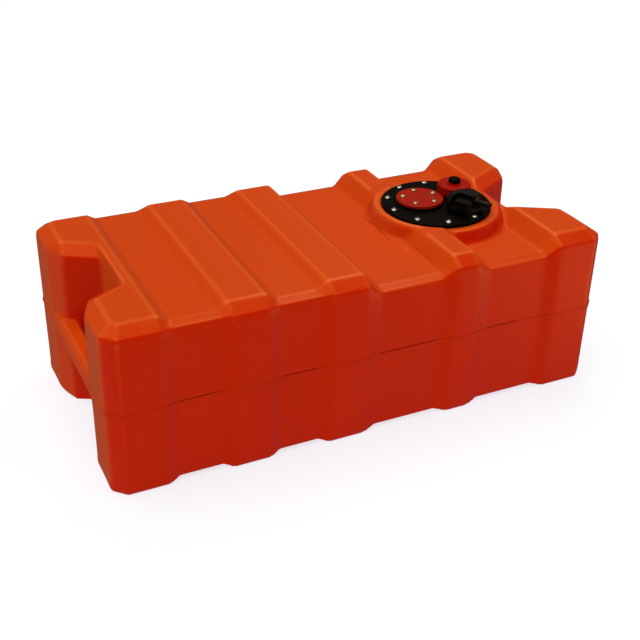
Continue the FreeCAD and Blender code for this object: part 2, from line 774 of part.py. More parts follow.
def make_spigot():
    """Spigot through the plate, with the neck that the head turns on."""
    at = PICKUP_CENTRE
    flange = cylinder("spigot_flange", "spigot_flange_radius", "spigot_flange_height", at + (SPIGOT_LOW,))
    stem = cylinder("spigot_stem", "spigot_stem_radius", SPIGOT_LOW + " - " + SPIGOT_FOOT,
                    at + (SPIGOT_FOOT,))
    neck = cylinder("spigot_neck", "spigot_neck_radius", "spigot_neck_height", at + (SPIGOT_NECK,))
    whole = fuse("spigot_whole", [flange, stem, neck])
    groove = ring("ring_groove", "spigot_neck_radius * 2", RING_CORE, "neck_ring_height", at + (RING_LOW,))
    bore = cylinder("spigot_bore", "spigot_bore", SPIGOT_NECK + " + spigot_neck_height - " + SPIGOT_FOOT,
                    at + (SPIGOT_FOOT,))
    socket = cylinder("tube_socket", "dip_tube_radius + fit_clearance", "dip_tube_socket",
                      at + (SPIGOT_FOOT,))
    return cut("pickup_spigot", whole, [groove, bore, socket])


def make_neck_ring():
    """Rubber ring in the neck's groove."""
    return ring("neck_ring", "spigot_neck_radius", RING_CORE, "neck_ring_height", PICKUP_CENTRE + (RING_LOW,))


def make_spigot_seal():
    """Flat ring between the spigot's flange and the plate."""
    return ring("spigot_seal", "spigot_flange_radius - spigot_seal_inset", "spigot_stem_radius",
                "spigot_seal_thickness", PICKUP_CENTRE + (PLATE_TOP,))


def make_spigot_nut():
    """Nut that clamps the spigot from under the plate."""
    at = PICKUP_CENTRE + (PLATE_LOW + " - spigot_nut_height",)
    nut = hexagon("nut_blank", "spigot_nut_flats", "spigot_nut_height", at)
    hole = cylinder("nut_hole", "spigot_stem_radius + fit_clearance", "spigot_nut_height", at)
    return cut("spigot_nut", nut, [hole])


def turned_to_pickup(item):
    """Move a piece made round the origin, with its hose end along +X, to the pick-up."""
    item.Placement = FreeCAD.Placement(Vector(), FreeCAD.Rotation(Vector(0, 0, 1), 1))
    item.setExpression("Placement.Base.x", expr(PICKUP_CENTRE[0]))
    item.setExpression("Placement.Base.y", expr(PICKUP_CENTRE[1]))
    item.setExpression("Placement.Rotation.Angle", expr("head_angle"))
    return item


ALONG_X = (Vector(0, 1, 0), 90)
LATCH_LEFT = "(latch_shift - latch_half_width)"
STEP_EDGE = "(0 - spigot_neck_radius - socket_wall)"


def make_head():
    """Round swivel head: a hood round its back and left, a low nose for the latch at its front."""
    wall = cylinder("head_wall", "head_radius", "head_height - head_round", ("0", "0", HEAD_LOW))
    shoulder = cone("head_shoulder", "head_radius", "head_radius - head_round", "head_round",
                    ("0", "0", HEAD_LOW + " + head_height - head_round"))
    whole = fuse("head_whole", [wall, shoulder])
    socket = cylinder("head_socket", "spigot_neck_radius + socket_clearance",
                      "spigot_neck_height - head_gap + socket_room", ("0", "0", HEAD_LOW))
    floor = HEAD_LOW + " + pocket_floor"
    front = box("head_front_pocket", "pocket_left + head_radius", "head_radius + " + STEP_EDGE,
                "head_height", ("0 - pocket_left", "0 - head_radius", floor))
    step = box("head_step_pocket", "pocket_left + head_radius", "head_radius", "head_height",
               ("0 - pocket_left", "0 - head_radius", HEAD_LOW + " + step_floor"))
    hose_side = box("head_hose_side", "head_radius", "head_radius * 2", "head_height",
                    ("hood_end", "0 - head_radius", floor))
    thread = cylinder("head_thread", "tail_stub_radius + fit_clearance", "tail_stub_length",
                      ("hood_end - tail_stub_length", "tail_offset", TAIL_AXIS), ALONG_X)
    flow = cylinder("head_flow", "tail_bore", "hood_end", ("0", "tail_offset", TAIL_AXIS), ALONG_X)
    nose = box("head_nose", "latch_half_width * 2 + nose_margin * 2", "latch_reach + nose_margin",
               "pocket_floor", (LATCH_LEFT + " - nose_margin", "0 - latch_reach - nose_margin", HEAD_LOW))
    hood = cut("head_hood", whole, [front, step, hose_side, thread, flow])
    return turned_to_pickup(cut("swivel_head", fuse("head_body", [hood, nose]), [socket]))


def make_latch():
    """Press latch that stands on the head's nose, ribbed for the thumb."""
    low = HEAD_LOW + " + pocket_floor"
    block = box("latch_block", "latch_half_width * 2", "latch_thickness", "latch_height",
                (LATCH_LEFT, "0 - latch_reach", low))
    ribs = [block]
    for step in range(int(size("latch_rib_count"))):
        x = LATCH_LEFT + " + (%d + 0.5) * latch_half_width * 2 / latch_rib_count - latch_rib / 2" % step
        ribs.append(box("latch_rib_%d" % step, "latch_rib", "latch_rib", "latch_rib_height",
                        (x, "0 - latch_reach - latch_rib", low + " + (latch_height - latch_rib_height) / 2")))
    return turned_to_pickup(fuse("coupling_latch", ribs))


def make_tail():
    """Hose tail with its hexagon, screwed into the hood's end."""
    face = "hood_end + tail_seal_thickness"
    hex_end = face + " + tail_hex_length"
    stub_end = "hood_end - tail_stub_length"
    stub = cylinder("tail_stub", "tail_stub_radius", "tail_stub_length + tail_seal_thickness",
                    (stub_end, "tail_offset", TAIL_AXIS), ALONG_X)
    hexa = hexagon("tail_hex", "tail_hex_flats", "tail_hex_length", (face, "tail_offset", TAIL_AXIS), ALONG_X)
    tube = cylinder("tail_tube", "tail_radius", "tail_length", (hex_end, "tail_offset", TAIL_AXIS), ALONG_X)
    barbs = []
    for step in range(2):
        start = "%s + tail_length - tail_barb_land - tail_barb_taper - %d * tail_barb_pitch" % (hex_end, step)
        crest = "tail_radius + tail_barb_proud"
        barbs.append(cylinder("tail_land_%d" % step, crest, "tail_barb_land",
                              (start, "tail_offset", TAIL_AXIS), ALONG_X))
        barbs.append(cone("tail_taper_%d" % step, crest, "tail_radius", "tail_barb_taper",
                          (start + " + tail_barb_land", "tail_offset", TAIL_AXIS), ALONG_X))
    whole = fuse("tail_whole", [stub, hexa, tube] + barbs)
    bore = cylinder("tail_through", "tail_bore",
                    "tail_stub_length + tail_seal_thickness + tail_hex_length + tail_length",
                    (stub_end, "tail_offset", TAIL_AXIS), ALONG_X)
    return turned_to_pickup(cut("hose_tail", whole, [bore]))


def make_tail_seal():
    """Flat ring between the hose tail's hexagon and the head."""
    return turned_to_pickup(ring("tail_seal", "tail_hex_flats / 2", "tail_stub_radius + fit_clearance",
                                 "tail_seal_thickness", ("hood_end", "tail_offset", TAIL_AXIS), ALONG_X))


def make_dip_tube():
    """Tube from the spigot down into the strainer."""
    low = STRAINER_LOW + " + strainer_wall * 3"
    length = SPIGOT_FOOT + " + dip_tube_socket - (" + low + ")"
    return ring("dip_tube", "dip_tube_radius", "dip_tube_radius - dip_tube_wall", length,
                PICKUP_CENTRE + (low,))


def make_strainer():
    """Slotted cup that keeps dirt out of the dip tube."""
    outer = cylinder("strainer_outer", "strainer_radius", "strainer_height", PICKUP_CENTRE + (STRAINER_LOW,))
    inner = cylinder("strainer_inner", "strainer_radius - strainer_wall",
                     "strainer_height - strainer_wall * 2",
                     PICKUP_CENTRE + (STRAINER_LOW + " + strainer_wall",))
    entry = cylinder("strainer_entry", "dip_tube_radius + fit_clearance", "strainer_wall * 2",
                     PICKUP_CENTRE + (STRAINER_LOW + " + strainer_height - strainer_wall * 1.5",))
    slots = bores("strainer_slot", (PICKUP_CENTRE, "strainer_radius", "strainer_slot_count", "0"),
                  "strainer_slot_radius", STRAINER_LOW + " + strainer_wall * 2", "strainer_slot_height")
    return cut("foot_strainer", outer, [inner, entry] + slots)


PIECES = [
    tank_body,
    make_inserts(),
    make_gasket(),
    make_plate(),
    make_rim_screws(),
    make_gauge_gasket(),
    make_cover(),
    make_cover_screws(),
    make_cap(),
    make_cap_seal(),
    make_vent_knob(),
    make_vent_seal(),
    make_spigot(),
    make_neck_ring(),
    make_spigot_seal(),
    make_spigot_nut(),
    make_head(),
    make_latch(),
    make_tail(),
    make_tail_seal(),
    make_dip_tube(),
    make_strainer(),
]
doc.recompute()


# Checks and files
def check_document():
    """Stop on any object that failed to compute."""
    for item in doc.Objects:
        if any(state in ("Invalid", "Error") for state in item.State):
            raise RuntimeError("%s did not compute: %s" % (item.Name, item.State))


def write_parts(pieces):
    """Check each piece's solid and write it to its own file."""
    os.makedirs("parts", exist_ok=True)
    for piece in pieces:
        shape = piece.Shape
        if shape.isNull() or not shape.isValid() or not shape.Solids:
            raise RuntimeError("%s has no valid solid" % piece.Label)
        shape.exportStep("parts/%s.step" % piece.Label)


check_document()
write_parts(PIECES)
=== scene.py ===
"""Dresses a marine fuel tank: a moulded orange tank with a bolted flange of fuel fittings.

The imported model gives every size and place. Lengths are in metres, Z is up and the fittings are at +X.
"""
import logging
import math
from dataclasses import dataclass
from enum import Enum
from typing import Callable, Iterable, List, Optional, Sequence, Tuple, TypeVar

import bmesh
import bpy
from bpy.types import Material, Mesh, NodeSocket, NodeTree, Object
from mathutils import Matrix, Vector
from mathutils.bvhtree import BVHTree


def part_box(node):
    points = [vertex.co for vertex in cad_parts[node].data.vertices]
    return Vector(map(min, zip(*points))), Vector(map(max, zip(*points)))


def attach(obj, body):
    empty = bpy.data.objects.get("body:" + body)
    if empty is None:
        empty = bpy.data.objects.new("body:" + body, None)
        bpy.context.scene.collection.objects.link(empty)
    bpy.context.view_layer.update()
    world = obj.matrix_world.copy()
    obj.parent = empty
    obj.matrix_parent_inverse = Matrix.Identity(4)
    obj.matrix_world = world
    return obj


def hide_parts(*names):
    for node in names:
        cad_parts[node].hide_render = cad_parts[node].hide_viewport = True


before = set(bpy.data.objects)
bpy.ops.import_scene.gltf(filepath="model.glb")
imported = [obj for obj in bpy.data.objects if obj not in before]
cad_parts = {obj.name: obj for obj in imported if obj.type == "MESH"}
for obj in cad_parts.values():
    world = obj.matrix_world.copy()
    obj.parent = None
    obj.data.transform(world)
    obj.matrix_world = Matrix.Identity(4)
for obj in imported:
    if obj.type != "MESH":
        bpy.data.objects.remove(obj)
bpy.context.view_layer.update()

LOG = logging.getLogger("fuel_tank")
MILLIMETRE = 0.001
MERGE_DISTANCE = 0.001 * MILLIMETRE
SLIVER = 0.02 * MILLIMETRE
FLAT_ANGLE = math.radians(1.0)
CREASE_ANGLE = math.radians(25.0)
SHARP_ANGLE = math.radians(35.0)
# How far a face turns to a long side where its painted light is full, and where it is gone.
SIDE_FACING = (0.15, 0.72)
# Mesh layer that tells where highlights are painted on the tank's edges.
EDGE_HIGHLIGHT_LAYER = "painted_edge_highlight"
GRAIN_DETAIL = 3.0
MOTTLE_DETAIL = 5.0
RING_DETAIL = 3.0
RING_DISTORTION = 2.0
LAMP_WARMTH = (1.0, 0.9, 0.7)
CARD_WARMTH = (1.0, 0.72, 0.25)
BLACK = (0.0, 0.0, 0.0, 1.0)
WHITE = (1.0, 1.0, 1.0, 1.0)

Colour = Tuple[float, float, float]
Shade = Tuple[float, float, float, float]
Item = TypeVar("Item")


class Body(Enum):
    """Bodies of the model that the pieces ride on."""

    TANK = "root"
    CAP = "cap"
    VENT = "vent"
    PICKUP = "pickup"
    LATCH = "latch"


class Pattern(Enum):
    """What stirs a finish's colour."""

    MOTTLE = "mottle"
    TURNING_MARKS = "turning marks"


def linear(colour: Colour) -> Shade:
    """Turn an sRGB colour of 0 to 255 into a shader's linear one.

    Args:
        colour: red, green and blue as an image shows them.

    Returns:
        The same colour in linear light, with an alpha of 1.
    """
    shares = [channel / 255.0 for channel in colour]
    lit = [share / 12.92 if share <= 0.04045 else ((share + 0.055) / 1.055) ** 2.4 for share in shares]
    return (lit[0], lit[1], lit[2], 1.0)


@dataclass(frozen=True)
class Finish:
    """A surface: its colour, how that varies, its gloss and its fine relief.

    Attributes:
        name: name of the material.
        slot: the record's material slot; not used.
        colour: main colour, sRGB.
        stirred: the colour it drifts to, sRGB.
        pattern: how the colour varies.
        pattern_scale: fineness of the colour's variation, in turns per metre.
        pattern_share: where in the pattern the main colour ends, and where the stirred one is reached.
        roughness: lowest and highest roughness.
        grain_scale: fineness of the relief, in turns per metre.
        grain_depth: height of the relief, in metres.
        metallic: 1 for metal.
        specular: strength of the gloss of a non-metal.
        gloss_colour: colour of that gloss, sRGB.
        painted_light_colour: the paler colour painted on faces that don't turn to a long side, as light
            falling on them, sRGB, or None.
        edge_highlight: the paler colour of the highlights painted on the edges that the mesh marks in its
            layer, sRGB, or None.
    """

    name: str
    slot: str
    colour: Colour
    stirred: Colour
    pattern: Pattern = Pattern.MOTTLE
    pattern_scale: float = 14.0
    pattern_share: Tuple[float, float] = (0.3, 0.75)
    roughness: Tuple[float, float] = (0.35, 0.45)
    grain_scale: float = 700.0
    grain_depth: float = 0.00005
    metallic: float = 0.0
    specular: float = 0.5
    gloss_colour: Colour = (255, 255, 255)
    painted_light_colour: Optional[Colour] = None
    edge_highlight: Optional[Colour] = None

    def material(self) -> Material:
        """Make the material, or find it if it is made already.

        Returns:
            The node material.
        """
        found = bpy.data.materials.get(self.name)
        if found:
            return found
        made = bpy.data.materials.new(self.name)
        made.use_nodes = True
        tree = made.node_tree
        shader = tree.nodes["Principled BSDF"]
        shader.inputs["Metallic"].default_value = self.metallic
        shader.inputs["Specular IOR Level"].default_value = self.specular
        shader.inputs["Specular Tint"].default_value = linear(self.gloss_colour)
        place = tree.nodes.new("ShaderNodeTexCoord").outputs["Object"]
        drift = self.drift(tree, place)
        grain = self.noise(tree, place, self.grain_scale, GRAIN_DETAIL)
        colour = self.blend(tree, drift)
        # Painted light: faces that don't turn to a long side get the paler colour.
        if self.painted_light_colour:
            colour = self.paint_light_by_facing(tree, colour)
        # Painted highlights: the edges marked in the mesh's layer get the paler colour.
        if self.edge_highlight:
            colour = self.paint_edge_highlights(tree, colour)
        tree.links.new(colour, shader.inputs["Base Color"])
        tree.links.new(self.spread(tree, drift, (0.0, 1.0), self.roughness), shader.inputs["Roughness"])
        relief = tree.nodes.new("ShaderNodeBump")
        relief.inputs["Distance"].default_value = self.grain_depth
        tree.links.new(grain, relief.inputs["Height"])
        tree.links.new(relief.outputs["Normal"], shader.inputs["Normal"])
        return made

    def drift(self, tree: NodeTree, place: NodeSocket) -> NodeSocket:
        """Pattern that runs from 0 to 1 over the surface.

        Args:
            tree: the material's nodes.
            place: coordinates of the surface.

        Returns:
            Socket that carries the pattern.
        """
        if self.pattern is Pattern.MOTTLE:
            return self.noise(tree, place, self.pattern_scale, MOTTLE_DETAIL)
        rings = tree.nodes.new("ShaderNodeTexWave")
        rings.wave_type = "RINGS"
        rings.rings_direction = "Z"
        rings.inputs["Scale"].default_value = self.pattern_scale
        rings.inputs["Distortion"].default_value = RING_DISTORTION
        rings.inputs["Detail"].default_value = RING_DETAIL
        tree.links.new(place, rings.inputs["Vector"])
        return rings.outputs["Fac"]

    @staticmethod
    def noise(tree: NodeTree, place: NodeSocket, scale: float, detail: float) -> NodeSocket:
        """Noise texture on the surface's coordinates.

        Args:
            tree: the material's nodes.
            place: coordinates of the surface.
            scale: turns per metre.
            detail: how many finer layers are added.

        Returns:
            Socket that carries the noise.
        """
        node = tree.nodes.new("ShaderNodeTexNoise")
        node.inputs["Scale"].default_value = scale
        node.inputs["Detail"].default_value = detail
        tree.links.new(place, node.inputs["Vector"])
        return node.outputs["Fac"]

    def blend(self, tree: NodeTree, drift: NodeSocket) -> NodeSocket:
        """Colour ramp from the main colour to the stirred one.

        Args:
            tree: the material's nodes.
            drift: socket of the pattern.

        Returns:
            Socket that carries the colour.
        """
        ramp = tree.nodes.new("ShaderNodeValToRGB")
        low, high = ramp.color_ramp.elements
        low.position, high.position = self.pattern_share
        low.color = linear(self.colour)
        high.color = linear(self.stirred)
        tree.links.new(drift, ramp.inputs["Fac"])
        return ramp.outputs["Color"]

    def paint_light_by_facing(self, tree: NodeTree, colour: NodeSocket) -> NodeSocket:
        """Paint light on all faces but those that turn to a long side, where the colour turns paler.

        Args:
            tree: the material's nodes.
            colour: socket of the colour before the painted light.

        Returns:
            Socket that carries the colour with its painted light.
        """
        facing = tree.nodes.new("ShaderNodeSeparateXYZ")
        tree.links.new(tree.nodes.new("ShaderNodeNewGeometry").outputs["Normal"], facing.inputs["Vector"])
        sideways = tree.nodes.new("ShaderNodeMath")
        sideways.operation = "ABSOLUTE"
        tree.links.new(facing.outputs["Y"], sideways.inputs[0])
        share = self.spread(tree, sideways.outputs["Value"], SIDE_FACING, (1.0, 0.0))
        return self.towards(tree, colour, self.painted_light_colour, share)

    def paint_edge_highlights(self, tree: NodeTree, colour: NodeSocket) -> NodeSocket:
        """Paint highlights along the edges, where the colour turns paler.

        Args:
            tree: the material's nodes.
            colour: socket of the colour before.

        Returns:
            Socket that carries the colour with its painted highlights.
        """
        layer = tree.nodes.new("ShaderNodeAttribute")
        layer.attribute_type = "GEOMETRY"
        layer.attribute_name = EDGE_HIGHLIGHT_LAYER
        return self.towards(tree, colour, self.edge_highlight, layer.outputs["Fac"])

    @staticmethod
    def towards(tree: NodeTree, colour: NodeSocket, other: Colour, share: NodeSocket) -> NodeSocket:
        """Mix a colour towards another.

        Args:
            tree: the material's nodes.
            colour: socket of the first colour.
            other: the second colour, sRGB.
            share: socket of the second colour's share.

        Returns:
            Socket that carries the mixed colour.
        """
        mix = tree.nodes.new("ShaderNodeMix")
        mix.data_type = "RGBA"
        tree.links.new(share, mix.inputs["Factor"])
        tree.links.new(colour, mix.inputs["A"])
        mix.inputs["B"].default_value = linear(other)
        return mix.outputs["Result"]

    @staticmethod
    def spread(
            tree: NodeTree, value: NodeSocket, span: Tuple[float, float], limits: Tuple[float, float],
    ) -> NodeSocket:
        """Map a value from one span to another.

        Args:
            tree: the material's nodes.
            value: socket of the value.
            span: the span that it comes from.
            limits: the span that it goes to.

        Returns:
            Socket that carries the mapped value.
        """
        node = tree.nodes.new("ShaderNodeMapRange")
        node.inputs["From Min"].default_value = span[0]
        node.inputs["From Max"].default_value = span[1]
        node.inputs["To Min"].default_value = limits[0]
        node.inputs["To Max"].default_value = limits[1]
        tree.links.new(value, node.inputs["Value"])
        return node.outputs["Result"]


# The paler colour on faces that don't turn to a long side is painted light, and the paler edges are painted
# highlights.
TANK_ORANGE = Finish(
    "satin orange polyethylene", "tank_plastic", (202, 27, 0), (199, 24, 0),
    pattern_scale=9.0, roughness=(0.28, 0.34), grain_scale=420.0, grain_depth=0.00004, specular=0.28,
    gloss_colour=(255, 165, 60), painted_light_colour=(203, 68, 12), edge_highlight=(228, 104, 46),
)
PLATE_BLACK = Finish(
    "black plate plastic", "plate_plastic", (5, 4, 3), (8, 7, 6),
    pattern_scale=60.0, roughness=(0.42, 0.54), grain_scale=1500.0, grain_depth=0.00004, specular=0.04,
)
COVER_RED = Finish(
    "red cover plastic", "cover_plastic", (158, 27, 13), (151, 24, 11),
    pattern_scale=40.0, roughness=(0.3, 0.38), grain_scale=1200.0, grain_depth=0.00003, specular=0.12,
    gloss_colour=(255, 210, 190),
)
CAP_RED = Finish(
    "red cap plastic", "cap_plastic", (160, 13, 4), (151, 11, 3),
    pattern_scale=40.0, roughness=(0.32, 0.42), grain_scale=1300.0, grain_depth=0.00003, specular=0.15,
    gloss_colour=(255, 205, 180),
)
KNOB_BLACK = Finish(
    "black knob plastic", "vent_plastic", (5, 4, 4), (8, 7, 7),
    pattern_scale=80.0, roughness=(0.5, 0.6), grain_scale=1800.0, grain_depth=0.00004, specular=0.05,
)
HEAD_BLACK = Finish(
    "black head plastic", "head_plastic", (9, 9, 8), (14, 14, 12),
    pattern_scale=70.0, roughness=(0.4, 0.52), grain_scale=1600.0, grain_depth=0.00005, specular=0.12,
)
LATCH_BLACK = Finish(
    "black latch plastic", "latch_plastic", (7, 7, 6), (11, 11, 10),
    pattern_scale=70.0, roughness=(0.4, 0.5), grain_scale=1600.0, grain_depth=0.00004, specular=0.07,
)
TAIL_BLACK = Finish(
    "black hose tail plastic", "tail_plastic", (9, 9, 8), (14, 14, 13),
    pattern_scale=80.0, roughness=(0.35, 0.45), grain_scale=1600.0, grain_depth=0.00004, specular=0.16,
)
TUBE_NATURAL = Finish(
    "natural tube plastic", "tube_plastic", (222, 220, 208), (210, 206, 190),
    pattern_scale=30.0, roughness=(0.35, 0.5), grain_scale=900.0, grain_depth=0.00003,
)
SEAL_RUBBER = Finish(
    "black seal rubber", "seal_rubber", (12, 12, 12), (18, 18, 18),
    pattern_scale=120.0, roughness=(0.6, 0.75), grain_scale=2200.0, grain_depth=0.00005, specular=0.12,
)
SCREW_STEEL = Finish(
    "bright screw steel", "screw_steel", (214, 216, 220), (186, 187, 190), Pattern.TURNING_MARKS,
    pattern_scale=900.0, roughness=(0.26, 0.42), grain_scale=2500.0, grain_depth=0.00002, metallic=1.0,
)
SCREW_ZINC = Finish(
    "yellow zinc on the cover screws", "screw_steel", (216, 208, 178), (190, 178, 140), Pattern.TURNING_MARKS,
    pattern_scale=900.0, roughness=(0.26, 0.42), grain_scale=2500.0, grain_depth=0.00002, metallic=1.0,
)
# Painted shade: the crosses in the screw heads are coloured dark as the shade in them.
RECESS_SHADE = Finish(
    "shaded screw recess", "screw_steel", (44, 40, 35), (30, 27, 24),
    pattern_scale=900.0, roughness=(0.5, 0.7), grain_scale=2500.0, grain_depth=0.00002, metallic=1.0,
)
INSERT_BRASS = Finish(
    "insert brass", "insert_brass", (214, 178, 104), (190, 150, 80), Pattern.TURNING_MARKS,
    pattern_scale=900.0, roughness=(0.25, 0.4), grain_scale=2500.0, grain_depth=0.00002, metallic=1.0,
)
SPIGOT_METAL = Finish(
    "machined spigot metal", "fitting_metal", (206, 206, 210), (176, 176, 182), Pattern.TURNING_MARKS,
    pattern_scale=700.0, roughness=(0.25, 0.4), grain_scale=2500.0, grain_depth=0.00002, metallic=1.0,
)


def merged_copy(node: str) -> bmesh.types.BMesh:
    """Copy a node's mesh with its loose triangles joined into flat faces.

    Args:
        node: name of the node.

    Returns:
        The copy, which the caller frees.
    """
    solid = bmesh.new()
    solid.from_mesh(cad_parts[node].data)
    bmesh.ops.remove_doubles(solid, verts=solid.verts[:], dist=MERGE_DISTANCE)
    bmesh.ops.dissolve_limit(solid, angle_limit=FLAT_ANGLE, verts=solid.verts[:], edges=solid.edges[:])
    return solid


def connected_groups(items: Iterable[Item], near: Callable[[Item], Iterable[Item]]) -> List[List[Item]]:
    """Sort things into the groups that hang together.

    Args:
        items: the things.
        near: gives what a thing hangs together with.

    Returns:
        One list for each group.
    """
    left = set(items)
    groups = []
    while left:
        stack = [left.pop()]
        group = []
        while stack:
            item = stack.pop()
            group.append(item)
            found = {other for other in near(item) if other in left}
            left.difference_update(found)
            stack.extend(found)
        groups.append(group)
    return groups


def is_upright(edge: bmesh.types.BMEdge) -> bool:
    """Tell whether an edge runs up or down and not level."""
    return abs(edge.verts[0].co.z - edge.verts[1].co.z) > MERGE_DISTANCE


def take_out_slivers(solid: bmesh.types.BMesh) -> None:
    """Join vertices that all but meet, and take out the faces without an area.

    Args:
        solid: the mesh.
    """
    bmesh.ops.remove_doubles(solid, verts=solid.verts[:], dist=SLIVER)
    bmesh.ops.dissolve_degenerate(solid, edges=solid.edges[:], dist=SLIVER)


def crease_edges(solid: bmesh.types.BMesh, angle: float) -> List[bmesh.types.BMEdge]:
    """Edges where two faces meet at more than an angle.

    Args:
        solid: the mesh.
        angle: least turn between the two faces, in radians.

    Returns:
        The edges.
    """
    return [edge for edge in solid.edges if edge.is_manifold and edge.calc_face_angle(0.0) > angle]


def soften(
        solid: bmesh.types.BMesh, edges: Sequence[bmesh.types.BMEdge], width: float, segments: int,
) -> None:
    """Round edges of a mesh.

    Args:
        solid: the mesh.
        edges: the edges to round.
        width: how far the rounding reaches from each edge.
        segments: steps across the rounding.
    """
    bmesh.ops.bevel(
        solid, geom=list(edges), offset=width, offset_type="OFFSET", segments=segments,
        profile=0.5, affect="EDGES", clamp_overlap=True, material=-1,
    )


def mesh_from(solid: bmesh.types.BMesh, name: str) -> Mesh:
    """Write a mesh and free its source.

    Args:
        solid: the source.
        name: name of the mesh.

    Returns:
        The mesh, shaded smooth apart from its creases.
    """
    mesh = bpy.data.meshes.new(name)
    solid.to_mesh(mesh)
    solid.free()
    mesh.shade_smooth()
    mesh.set_sharp_from_angle(angle=SHARP_ANGLE)
    return mesh


def add_piece(name: str, mesh: Mesh, finish: Finish, body: Body, nodes: Iterable[str] = ()) -> Object:
    """Put a piece in the scene on its body.

    Args:
        name: name of the piece.
        mesh: its mesh, in the model's frame.
        finish: its surface.
        body: the body that it rides on.
        nodes: the model's nodes that it stands for.

    Returns:
        The piece.
    """
    piece = bpy.data.objects.new(name, mesh)
    bpy.context.scene.collection.objects.link(piece)
    mesh.materials.clear()
    mesh.materials.append(finish.material())
    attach(piece, body.value)
    names = list(nodes)
    if names:
        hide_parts(*names)
    piece.modifiers.new("even light", "WEIGHTED_NORMAL").keep_sharp = True
    LOG.info("%s: %d faces on %s", name, len(mesh.polygons), body.value)
    return piece


def dress_node(node: str, finish: Finish) -> None:
    """Give a node that stays its finish.

    Args:
        node: name of the node.
        finish: its surface.
    """
    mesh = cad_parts[node].data
    mesh.materials.clear()
    mesh.materials.append(finish.material())
    LOG.info("%s: dressed in %s", node, finish.name)


def softened_node(node: str, finish: Finish, body: Body, width: float, segments: int = 3) -> None:
    """Replace a node by its own shape with rounded edges.

    Args:
        node: name of the node.
        finish: its surface.
        body: the body that it rides on.
        width: how far the rounding reaches from each edge.
        segments: steps across the rounding.
    """
    solid = merged_copy(node)
    soften(solid, crease_edges(solid, CREASE_ANGLE), width, segments)
    add_piece("soft_" + node, mesh_from(solid, node), finish, body, [node])


